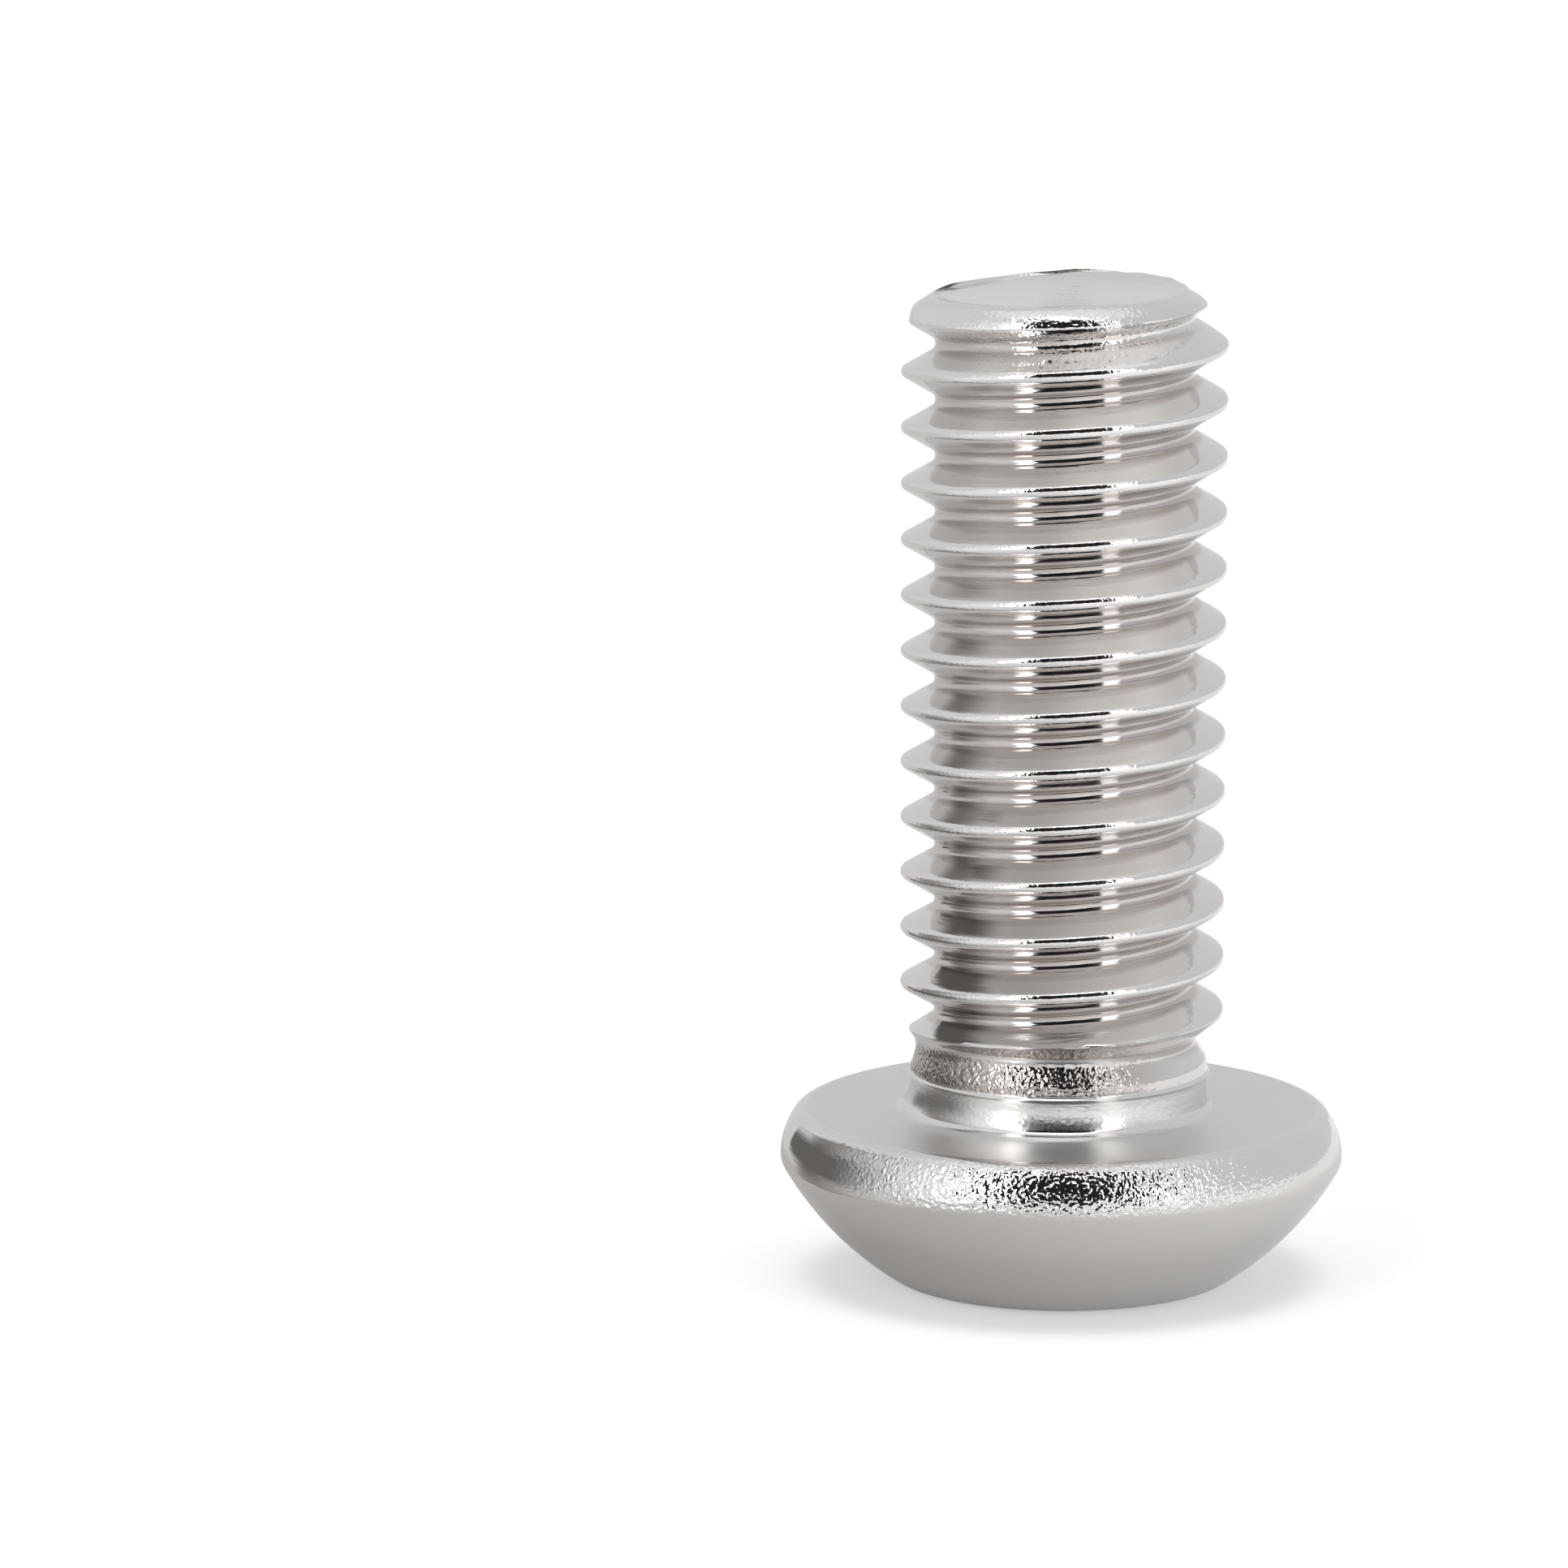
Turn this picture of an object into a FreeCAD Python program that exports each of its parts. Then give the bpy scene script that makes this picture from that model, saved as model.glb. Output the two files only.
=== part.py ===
import FreeCAD, Part
import math
import os
import Sketcher

# Button head screw with a hexagon socket and a full-length metric thread.
# The origin is the middle of the bearing face, under the head. The shank rises along +Z to its tip, and the head
# hangs below, so that the screw stands on the flat ring round its socket. Lengths are millimetres, angles degrees.
SIZES = {
    # Head: a flat bearing face, a rolled-over edge and a dome that ends in a flat crown
    "head_diameter": 10.10,
    "head_height": 3.09,
    "edge_height": 0.86,
    "edge_inset": 0.35,
    "rim_radius": 0.33,
    "crown_land": 0.48,
    # Socket: a punched hexagon, countersunk at its mouth, with the cone of the punch at its bottom
    "across_flats": 4.00,
    "corner_lip": 0.19,
    "countersink_angle": 120.0,
    "socket_depth": 2.20,
    "punch_land": 0.12,
    "punch_angle": 130.0,
    # Shank: a neck as wide as the wire it was made from, which swells to the crests, and a bevelled tip
    "shank_length": 14.71,
    "neck_inset": 0.22,
    "neck_length": 0.85,
    "neck_swell": 1.05,
    "neck_fillet": 0.40,
    "tip_inset": 0.45,
    "tip_bevel": 0.85,
    # Thread: a groove of full depth up to the tip, which rises out of the neck in its last turns under the head
    "crest_diameter": 5.80,
    "pitch": 1.00,
    "thread_angle": 60.0,
    "crest_flat": 0.105,
    "root_flat": 0.20,
    "runout_turns": 1.30,
    "runout_gap": 0.05,
    "runout_clearance": 0.04,
    # How far outside the metal each cut starts
    "cut_margin": 0.20,
}
NODE = "button_head_screw"
HEXAGON_SIDES = 6
FULL_TURN = 360.0
# Where the rim's arc is first drawn to meet the dome, before the sketch makes the two tangent
RIM_GUESS = 30.0

# Places on an edge of a sketch, and the sketch's own axes
START, END, CENTRE = 1, 2, 3
ACROSS, UP = -1, -2

# Ways to state a helix, by their numbers in the cut
PITCH_AND_HEIGHT = 0
HEIGHT_TURNS_AND_GROWTH = 3

# Sizes that follow from the sheet
CORNER_RADIUS = "sizes.across_flats / sqrt(3)"
MOUTH_RADIUS = f"({CORNER_RADIUS} + sizes.corner_lip)"
PUNCH_RADIUS = "(sizes.across_flats / 2 - sizes.punch_land)"
GROOVE_HALF_WIDTH = "(sizes.pitch - sizes.crest_flat) / 2"
GROOVE_DEPTH = f"({GROOVE_HALF_WIDTH} - sizes.root_flat / 2) / tan(sizes.thread_angle * 1 deg / 2)"
GROOVE_START = f"({GROOVE_HALF_WIDTH} + sizes.runout_gap + sizes.runout_turns * sizes.pitch)"


def make_sheet(doc):
    """The driving dimensions, each under its own name."""
    sheet = doc.addObject("Spreadsheet::Sheet", "sizes")
    for row, (name, value) in enumerate(SIZES.items(), start=1):
        sheet.set(f"A{row}", name)
        sheet.set(f"B{row}", str(value))
        sheet.setAlias(f"B{row}", name)
    doc.recompute()


def make_sketch(body, name, role):
    """An empty sketch on one of the body's own planes."""
    plane = next(item for item in body.Origin.OriginFeatures if item.Role == role)
    sketch = body.newObject("Sketcher::SketchObject", name)
    sketch.AttachmentSupport = (plane, [""])
    sketch.MapMode = "FlatFace"
    return sketch


def spot(across, up):
    """A point of a sketch."""
    return FreeCAD.Vector(across, up, 0.0)


def line(start, end):
    """A straight edge."""
    return Part.LineSegment(start, end)


def arc(centre, start, end):
    """The arc that runs anticlockwise from start to end."""
    circle = Part.Circle(centre, FreeCAD.Vector(0.0, 0.0, 1.0), centre.distanceToPoint(start))
    first = math.atan2(start.y - centre.y, start.x - centre.x)
    last = math.atan2(end.y - centre.y, end.x - centre.x)
    return Part.ArcOfCircle(circle, first, last)


def draw(sketch, edges):
    """Adds named edges and returns the number that the sketch gives each one."""
    return {name: sketch.addGeometry(edge) for name, edge in edges.items()}


def rule(sketch, *constraint):
    """A relation between edges, such as a shared corner."""
    sketch.addConstraint(Sketcher.Constraint(*constraint))


def join(sketch, loop):
    """Closes a loop of straight edges, each one starting where the one before it ends."""
    for before, after in zip(loop, loop[1:] + loop[:1]):
        rule(sketch, "Coincident", before, END, after, START)


def dimension(sketch, name, expression, *constraint):
    """A length or an angle that follows the sheet."""
    index = sketch.addConstraint(Sketcher.Constraint(*constraint))
    sketch.renameConstraint(index, name)
    sketch.setExpression(f"Constraints.{name}", expression)


def draw_blank(body):
    """Half the section of the headed and bevelled blank, from the crown round to the tip."""
    head = SIZES["head_diameter"] / 2
    crown = SIZES["across_flats"] / math.sqrt(3) + SIZES["corner_lip"] + SIZES["crown_land"]
    rim = SIZES["rim_radius"]
    rim_angle = math.radians(RIM_GUESS)
    inset = SIZES["edge_inset"]
    crest = SIZES["crest_diameter"] / 2
    neck = crest - SIZES["neck_inset"]
    fillet = SIZES["neck_fillet"]
    length = SIZES["shank_length"]

    crown_middle = spot(0.0, -SIZES["head_height"])
    crown_edge = spot(crown, crown_middle.y)
    widest = spot(head, -SIZES["edge_height"])
    rim_middle = spot(head - rim, widest.y)
    dome_end = rim_middle + spot(rim * math.cos(rim_angle), -rim * math.sin(rim_angle))
    dome_rise = (dome_end.dot(dome_end) - crown_edge.dot(crown_edge)) / (2 * (dome_end.y - crown_edge.y))
    edge_radius = (inset ** 2 + widest.y ** 2) / (2 * inset)
    bearing_edge = spot(head - inset, 0.0)
    fillet_end = spot(neck + fillet, 0.0)
    neck_start = spot(neck, fillet)
    neck_end = spot(neck, SIZES["neck_length"])
    crest_start = spot(crest, SIZES["neck_length"] + SIZES["neck_swell"])
    crest_end = spot(crest, length - SIZES["tip_bevel"])
    tip_edge = spot(crest - SIZES["tip_inset"], length)
    tip_middle = spot(0.0, length)

    sketch = make_sketch(body, "blank_section", "XZ_Plane")
    at = draw(sketch, {
        "crown": line(crown_middle, crown_edge),
        "dome": arc(spot(0.0, dome_rise), crown_edge, dome_end),
        "rim": arc(rim_middle, dome_end, widest),
        "edge": arc(spot(head - edge_radius, widest.y), widest, bearing_edge),
        "bearing": line(bearing_edge, fillet_end),
        "fillet": arc(spot(fillet_end.x, fillet), neck_start, fillet_end),
        "neck": line(neck_start, neck_end),
        "swell": line(neck_end, crest_start),
        "crest": line(crest_start, crest_end),
        "bevel": line(crest_end, tip_edge),
        "tip": line(tip_edge, tip_middle),
        "axis": line(tip_middle, crown_middle),
    })

    for before, after in (("crown", "dome"), ("edge", "bearing"), ("neck", "swell"), ("swell", "crest"),
                          ("crest", "bevel"), ("bevel", "tip"), ("tip", "axis"), ("axis", "crown")):
        rule(sketch, "Coincident", at[before], END, at[after], START)
    rule(sketch, "Tangent", at["dome"], END, at["rim"], START)
    rule(sketch, "Tangent", at["rim"], END, at["edge"], START)
    rule(sketch, "Tangent", at["bearing"], END, at["fillet"], END)
    rule(sketch, "Tangent", at["fillet"], START, at["neck"], START)
    for name in ("crown", "bearing", "tip"):
        rule(sketch, "Horizontal", at[name])
    for name in ("neck", "crest", "axis"):
        rule(sketch, "Vertical", at[name])
    rule(sketch, "Horizontal", at["rim"], CENTRE, at["rim"], END)
    rule(sketch, "PointOnObject", at["axis"], START, UP)
    rule(sketch, "PointOnObject", at["dome"], CENTRE, UP)
    rule(sketch, "PointOnObject", at["edge"], END, ACROSS)

    for name, edge, end, value, expression in (
        ("crown_radius", "crown", END, crown, f"{MOUTH_RADIUS} + sizes.crown_land"),
        ("head_radius", "rim", END, head, "sizes.head_diameter / 2"),
        ("neck_radius", "neck", END, neck, "sizes.crest_diameter / 2 - sizes.neck_inset"),
        ("crest_radius", "crest", START, crest, "sizes.crest_diameter / 2"),
        ("tip_radius", "tip", START, tip_edge.x, "sizes.crest_diameter / 2 - sizes.tip_inset"),
    ):
        dimension(sketch, name, expression, "DistanceX", ACROSS, START, at[edge], end, value)
    for name, edge, end, value, expression in (
        ("neck_top", "neck", END, neck_end.y, "sizes.neck_length"),
        ("crest_bottom", "crest", START, crest_start.y, "sizes.neck_length + sizes.neck_swell"),
        ("crest_top", "crest", END, crest_end.y, "sizes.shank_length - sizes.tip_bevel"),
        ("tip_top", "tip", START, length, "sizes.shank_length"),
    ):
        dimension(sketch, name, expression, "DistanceY", ACROSS, START, at[edge], end, value)
    for name, edge, value, expression in (
        ("crown_bottom", "crown", -crown_edge.y, "sizes.head_height"),
        ("widest_bottom", "rim", -widest.y, "sizes.edge_height"),
    ):
        dimension(sketch, name, expression, "DistanceY", at[edge], END, ACROSS, START, value)
    dimension(sketch, "rolled_edge", "sizes.edge_inset", "DistanceX", at["edge"], END, at["rim"], END, inset)
    dimension(sketch, "rim_rounding", "sizes.rim_radius", "Radius", at["rim"], rim)
    dimension(sketch, "neck_rounding", "sizes.neck_fillet", "Radius", at["fillet"], fillet)
    return sketch


def draw_cone(body, name, level, radius_text, angle_text, radius, angle):
    """Half the section of a round cutter: a short cylinder, then a cone that narrows up into the head."""
    margin = SIZES["cut_margin"]
    apex = spot(0.0, radius / math.tan(math.radians(angle) / 2))
    outer = spot(radius, 0.0)
    outer_start = spot(radius, -margin)
    inner_start = spot(0.0, -margin)
    sketch = make_sketch(body, name, "XZ_Plane")
    sketch.setExpression("AttachmentOffset.Base.y", level)
    at = draw(sketch, {
        "mouth": line(inner_start, outer_start),
        "side": line(outer_start, outer),
        "slope": line(outer, apex),
        "axis": line(apex, inner_start),
    })
    join(sketch, list(at.values()))
    rule(sketch, "Horizontal", at["mouth"])
    rule(sketch, "Vertical", at["side"])
    rule(sketch, "Vertical", at["axis"])
    rule(sketch, "PointOnObject", at["axis"], START, UP)
    rule(sketch, "PointOnObject", at["side"], END, ACROSS)
    dimension(sketch, "lead_in", "sizes.cut_margin", "DistanceY", at["side"], START, at["side"], END, margin)
    dimension(sketch, "radius", radius_text, "DistanceX", ACROSS, START, at["side"], END, radius)
    dimension(sketch, "depth", f"{radius_text} / tan({angle_text} * 1 deg / 2)",
              "DistanceY", ACROSS, START, at["slope"], END, apex.y)
    return sketch


def draw_hexagon(body):
    """The socket's outline on the crown, with two flats square to Y."""
    corner = SIZES["across_flats"] / math.sqrt(3)
    turns = [2 * math.pi * side / HEXAGON_SIDES for side in range(HEXAGON_SIDES)]
    corners = [spot(corner * math.cos(turn), corner * math.sin(turn)) for turn in turns]
    sketch = make_sketch(body, "socket_outline", "XY_Plane")
    sketch.setExpression("AttachmentOffset.Base.z", "-sizes.head_height")
    sides = [sketch.addGeometry(line(*ends)) for ends in zip(corners, corners[1:] + corners[:1])]
    circle = sketch.addGeometry(Part.Circle(spot(0.0, 0.0), FreeCAD.Vector(0.0, 0.0, 1.0), corner), True)
    join(sketch, sides)
    rule(sketch, "Coincident", circle, CENTRE, ACROSS, START)
    for side in sides:
        rule(sketch, "PointOnObject", side, START, circle)
    for side in sides[1:]:
        rule(sketch, "Equal", sides[0], side)
    rule(sketch, "Horizontal", sides[1])
    dimension(sketch, "corner_radius", CORNER_RADIUS, "Radius", circle, corner)
    return sketch


def draw_groove(body):
    """The thread's groove at full depth: a flat root, two flanks, and sides that run on past the crests."""
    crest = SIZES["crest_diameter"] / 2
    half = (SIZES["pitch"] - SIZES["crest_flat"]) / 2
    root_half = SIZES["root_flat"] / 2
    depth = (half - root_half) / math.tan(math.radians(SIZES["thread_angle"] / 2))
    margin = SIZES["cut_margin"]
    lower_outside = spot(-crest - margin, -half)
    lower_crest = spot(-crest, -half)
    lower_root = spot(depth - crest, -root_half)
    upper_root = spot(depth - crest, root_half)
    upper_crest = spot(-crest, half)
    upper_outside = spot(-crest - margin, half)

    sketch = make_sketch(body, "groove_section", "XZ_Plane")
    sketch.setExpression("AttachmentOffset.Base.y", GROOVE_START)
    at = draw(sketch, {
        "lower_side": line(lower_outside, lower_crest),
        "lower_flank": line(lower_crest, lower_root),
        "root": line(lower_root, upper_root),
        "upper_flank": line(upper_root, upper_crest),
        "upper_side": line(upper_crest, upper_outside),
        "outside": line(upper_outside, lower_outside),
    })
    join(sketch, list(at.values()))
    rule(sketch, "Symmetric", at["root"], START, at["root"], END, ACROSS)
    rule(sketch, "Symmetric", at["lower_flank"], START, at["upper_flank"], END, ACROSS)
    rule(sketch, "Horizontal", at["lower_side"])
    rule(sketch, "Horizontal", at["upper_side"])
    rule(sketch, "Vertical", at["outside"])
    dimension(sketch, "crest_radius", "sizes.crest_diameter / 2",
              "DistanceX", at["lower_flank"], START, ACROSS, START, crest)
    dimension(sketch, "half_width", GROOVE_HALF_WIDTH,
              "DistanceY", at["lower_flank"], START, ACROSS, START, half)
    dimension(sketch, "root_width", "sizes.root_flat",
              "DistanceY", at["root"], START, at["root"], END, 2 * root_half)
    dimension(sketch, "depth", GROOVE_DEPTH,
              "DistanceX", at["lower_flank"], START, at["lower_flank"], END, depth)
    dimension(sketch, "clear_of_crest", "sizes.cut_margin",
              "DistanceX", at["lower_side"], START, at["lower_side"], END, margin)
    return sketch


def revolve(body, kind, name, sketch):
    """A full turn of a half section about the screw's axis."""
    feature = body.newObject(kind, name)
    feature.Profile = sketch
    feature.ReferenceAxis = (sketch, ["V_Axis"])
    feature.Angle = FULL_TURN


def punch_socket(body, sketch):
    """The hexagon, punched up into the head from its crown."""
    socket = body.newObject("PartDesign::Pocket", "hexagon_socket")
    socket.Profile = sketch
    socket.Reversed = True
    socket.setExpression("Length", "sizes.socket_depth")


def roll(body, name, sketch, mode):
    """A cut that carries the groove's section round the shank."""
    helix = body.newObject("PartDesign::SubtractiveHelix", name)
    helix.Profile = sketch
    helix.ReferenceAxis = (sketch, ["V_Axis"])
    helix.Mode = mode
    helix.Refine = False
    return helix


def roll_thread(body, sketch):
    """The groove's turns at full depth, up past the tip."""
    thread = roll(body, "thread_groove", sketch, PITCH_AND_HEIGHT)
    thread.setExpression("Pitch", "sizes.pitch")
    thread.setExpression("Height", f"sizes.shank_length - {GROOVE_START} + sizes.pitch")


def roll_runout(body, sketch):
    """The groove's last turns, down towards the head and outwards until the neck is whole."""
    runout = roll(body, "thread_runout", sketch, HEIGHT_TURNS_AND_GROWTH)
    runout.Reversed = True
    runout.setExpression("Height", "sizes.runout_turns * sizes.pitch")
    runout.setExpression("Turns", "sizes.runout_turns")
    rise = f"({GROOVE_DEPTH} - sizes.neck_inset + sizes.runout_clearance)"
    runout.setExpression("Growth", f"{rise} / sizes.runout_turns")


def build_screw(doc):
    """The screw in the order it is made: the blank is headed, its socket punched, and its thread rolled."""
    body = doc.addObject("PartDesign::Body", NODE)
    body.Label = NODE
    countersink = SIZES["across_flats"] / math.sqrt(3) + SIZES["corner_lip"]
    punch = SIZES["across_flats"] / 2 - SIZES["punch_land"]
    revolve(body, "PartDesign::Revolution", "headed_blank", draw_blank(body))
    punch_socket(body, draw_hexagon(body))
    revolve(body, "PartDesign::Groove", "countersink",
            draw_cone(body, "countersink_section", "-sizes.head_height",
                      MOUTH_RADIUS, "sizes.countersink_angle", countersink, SIZES["countersink_angle"]))
    revolve(body, "PartDesign::Groove", "punch_bottom",
            draw_cone(body, "punch_section", "sizes.socket_depth - sizes.head_height",
                      PUNCH_RADIUS, "sizes.punch_angle", punch, SIZES["punch_angle"]))
    groove = draw_groove(body)
    roll_thread(body, groove)
    roll_runout(body, groove)
    return body


def check(doc, body):
    """Stops the build if any feature failed or the screw is not one closed solid."""
    for item in doc.Objects:
        if {"Invalid", "Error"} & set(item.State):
            raise RuntimeError(f"{item.Label} failed: {item.State}")
    shape = body.Shape
    if shape.isNull() or not shape.isValid() or len(shape.Solids) != 1:
        raise RuntimeError(f"{body.Label} is not one valid solid")


def main():
    doc = FreeCAD.newDocument(NODE)
    make_sheet(doc)
    screw = build_screw(doc)
    doc.recompute()
    check(doc, screw)
    os.makedirs("parts", exist_ok=True)
    screw.Shape.exportStep(f"parts/{screw.Label}.step")


main()
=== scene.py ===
import math

import bmesh
import bpy
import mathutils.noise
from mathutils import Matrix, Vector


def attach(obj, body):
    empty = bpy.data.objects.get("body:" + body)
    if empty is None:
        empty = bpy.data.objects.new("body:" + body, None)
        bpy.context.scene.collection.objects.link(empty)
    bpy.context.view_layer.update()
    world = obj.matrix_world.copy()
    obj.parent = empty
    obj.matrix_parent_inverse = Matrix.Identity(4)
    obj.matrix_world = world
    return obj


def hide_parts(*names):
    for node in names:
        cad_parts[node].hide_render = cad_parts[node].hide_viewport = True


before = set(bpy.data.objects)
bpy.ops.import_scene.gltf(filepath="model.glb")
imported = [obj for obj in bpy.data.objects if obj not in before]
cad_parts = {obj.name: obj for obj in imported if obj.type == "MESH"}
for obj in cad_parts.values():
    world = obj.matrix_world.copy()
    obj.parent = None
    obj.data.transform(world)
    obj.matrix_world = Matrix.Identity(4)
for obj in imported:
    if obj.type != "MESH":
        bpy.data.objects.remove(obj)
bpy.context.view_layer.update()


# The shank, bright nickel over steel. The neck is as wide as the wire that the screw is made from, and the
# thread is rolled, not cut: metal pressed out of a rounded root stands up as a rounded crest. A section one
# pitch long is carried up the helix, and the neck, the run-out and the tip's bevel are then pressed into it.
# Sizes are millimetres, with heights above the bearing face under the head.
MM = 0.001
COLUMNS = 160
MERGE_DISTANCE = 0.002 * MM
PITCH = 1.00
CREST_RADIUS = 2.90
ROOT_RADIUS = 2.295
ROOT_ROUNDING = 0.135
FLANK_ANGLE = math.radians(30.0)
GROOVE_HEIGHT = 1.7975
TURNS_BELOW = 3.5
SECTION_START = GROOVE_HEIGHT - TURNS_BELOW * PITCH
SECTION_TURNS = 17
SHANK_LENGTH = 14.71
# The section has this many steps along each arc and each flank
ARC_STEPS = 8
ARC_REACH = math.radians(60.0)
FLANK_STEPS = 8
# The arc of the crest, which touches both flanks, follows from the root's arc and the crest's radius
FLANK_FOOT = ROOT_ROUNDING * math.cos(FLANK_ANGLE)
FLANK_FOOT_RADIUS = ROOT_RADIUS + ROOT_ROUNDING * (1 - math.sin(FLANK_ANGLE))
SHARP_CREST = FLANK_FOOT_RADIUS + (PITCH / 2 - FLANK_FOOT) / math.tan(FLANK_ANGLE)
CREST_ROUNDING = (SHARP_CREST - CREST_RADIUS) / (1 / math.sin(FLANK_ANGLE) - 1)
CREST_SHOULDER = PITCH / 2 - CREST_ROUNDING * math.cos(FLANK_ANGLE)
# The groove fades out of the neck over its last turns, which lie a little closer together
FADE_PER_TURN = 0.70
RUNOUT_SHIFT = 0.40
SHIFT_TURNS = (0.4, 1.0)
RUNOUT_SOFTNESS = 0.18
LEAST_SOFTNESS = 0.001
# The neck, a little to the left of the axis, swells to the crests above
NECK_RADIUS = 2.66
NECK_SHIFT = 0.06
NECK_JOIN = 0.74
NECK_TOP = 0.85
SWELL_TOP = 1.90
# The tip: a bulging bevel, narrower than the crests and a little to the left, up to a leaning end face
BEVEL_START = 13.60
BEVEL_BULGE = 6.0
BEVEL_INSET = 0.26
BEVEL_SHIFT = 0.06
INSET_HEIGHTS = (13.75, 14.10)
TIP_RADIUS = 2.40
TIP_ROUNDING = 0.05
LEAN = 0.06
LEAN_AZIMUTH = math.radians(15.0)
SOFTNESS = 0.07


def smooth_share(value, start, end):
    """Rises smoothly from 0 to 1 between two values."""
    share = min(1.0, max(0.0, (value - start) / (end - start)))
    return share * share * (3 - 2 * share)


def groove_depth(from_middle):
    """Depth of the full groove under the crests, by the distance along the axis from its middle."""
    if from_middle < FLANK_FOOT:
        arc_depth = math.sqrt(ROOT_ROUNDING ** 2 - from_middle ** 2)
        return CREST_RADIUS - ROOT_RADIUS - ROOT_ROUNDING + arc_depth
    if from_middle < CREST_SHOULDER:
        return CREST_RADIUS - FLANK_FOOT_RADIUS - (from_middle - FLANK_FOOT) / math.tan(FLANK_ANGLE)
    from_crest = PITCH / 2 - min(from_middle, PITCH / 2)
    return CREST_ROUNDING - math.sqrt(CREST_ROUNDING ** 2 - from_crest ** 2)


def blank_radius(azimuth, height):
    """Radius of the blank before its thread is rolled, without the tip's bevel."""
    swell = min(1.0, max(0.0, (height - NECK_TOP) / (SWELL_TOP - NECK_TOP)))
    neck_radius = NECK_RADIUS - NECK_SHIFT * math.cos(azimuth)
    return neck_radius + (CREST_RADIUS - neck_radius) * math.sin(swell * math.pi / 2)


def bevel_radius(azimuth, height):
    """Radius of the bulging bevel at the tip."""
    start = CREST_RADIUS + SOFTNESS
    fall = max(0.0, (height - BEVEL_START) / (SHANK_LENGTH - TIP_ROUNDING - BEVEL_START))
    inset = (BEVEL_INSET + BEVEL_SHIFT * math.cos(azimuth)) * smooth_share(height, *INSET_HEIGHTS)
    return start - inset - (start - BEVEL_INSET - TIP_RADIUS) * fall ** BEVEL_BULGE


def soft_lesser(first, second, softness):
    """The lesser of two radii or depths, rounded off where they cross."""
    share = min(1.0, max(0.0, 0.5 + (second - first) / (2 * softness)))
    return second + (first - second) * share - softness * share * (1 - share)


def shank_radius(azimuth, height):
    """Radius of the shank at a place on it, with the thread and the tip's bevel."""
    turn = (azimuth % (2 * math.pi) - math.pi) / (2 * math.pi)
    nearest = round((height - GROOVE_HEIGHT) / PITCH - turn)
    depth = 0.0
    for groove in (nearest - 1, nearest, nearest + 1):
        turns_below = max(0.0, -(groove + turn))
        shift = RUNOUT_SHIFT * smooth_share(turns_below, *SHIFT_TURNS)
        middle = GROOVE_HEIGHT + (groove + turn) * PITCH + shift
        pressed = groove_depth(abs(height - middle)) * max(0.0, 1 - FADE_PER_TURN * turns_below)
        softness = RUNOUT_SOFTNESS * smooth_share(turns_below, 0.0, SHIFT_TURNS[0])
        softness = LEAST_SOFTNESS + min(softness, max(depth, pressed))
        depth = depth + pressed - soft_lesser(depth, pressed, softness)
    return soft_lesser(blank_radius(azimuth, height) - depth, bevel_radius(azimuth, height), SOFTNESS)


def tip_height(azimuth):
    """Height at which the tip's bevel rolls over into its end face."""
    return SHANK_LENGTH - TIP_ROUNDING + LEAN * math.cos(azimuth - LEAN_AZIMUTH)


def section_heights():
    """Heights of the section's points over one pitch, from crest to crest."""
    bend = [ARC_REACH * (2 * step / ARC_STEPS - 1) for step in range(ARC_STEPS + 1)]
    root = [ROOT_ROUNDING * math.sin(angle) for angle in bend]
    crest = [CREST_ROUNDING * math.sin(angle) for angle in bend]
    flank_length = CREST_SHOULDER - FLANK_FOOT
    flank = [FLANK_FOOT + flank_length * step / FLANK_STEPS for step in range(1, FLANK_STEPS)]
    middle = ARC_STEPS // 2
    lower = [height - PITCH / 2 for height in crest[middle:]] + [-height for height in reversed(flank)]
    upper = flank + [height + PITCH / 2 for height in crest[:middle + 1]]
    return [SECTION_START + PITCH / 2 + height for height in lower + root + upper]


def on_shank(azimuth, radius, height):
    """A place given by its azimuth, radius and height, in metres."""
    return Vector((radius * math.cos(azimuth), radius * math.sin(azimuth), height)) * MM


# A circle is opened, and its points are stood up as the section
heights = section_heights()
bpy.ops.object.select_all(action="DESELECT")
bpy.ops.mesh.primitive_circle_add(vertices=len(heights), radius=CREST_RADIUS * MM)
shank = bpy.context.object
section = bmesh.new()
section.from_mesh(shank.data)
section.verts.ensure_lookup_table()
section.edges.remove(section.edges.get((section.verts[0], section.verts[-1])))
for point, height in zip(section.verts, reversed(heights)):
    point.co = on_shank(math.pi, CREST_RADIUS, height)
section.to_mesh(shank.data)
section.free()
rolling = shank.modifiers.new("rolling", "SCREW")
rolling.angle = math.radians(360.0)
rolling.screw_offset = PITCH * MM
rolling.iterations = SECTION_TURNS
rolling.steps = COLUMNS
rolling.render_steps = COLUMNS
rolling.use_merge_vertices = True
rolling.merge_threshold = MERGE_DISTANCE
bpy.ops.object.modifier_apply(modifier="rolling")
for point in shank.data.vertices:
    azimuth = math.atan2(point.co.y, point.co.x)
    height = min(max(point.co.z / MM, NECK_JOIN), tip_height(azimuth))
    point.co = on_shank(azimuth, shank_radius(azimuth, height), height)
bpy.ops.object.mode_set(mode="EDIT")
bpy.ops.mesh.select_all(action="SELECT")
bpy.ops.mesh.remove_doubles(threshold=MERGE_DISTANCE)
bpy.ops.object.mode_set(mode="OBJECT")


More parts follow.
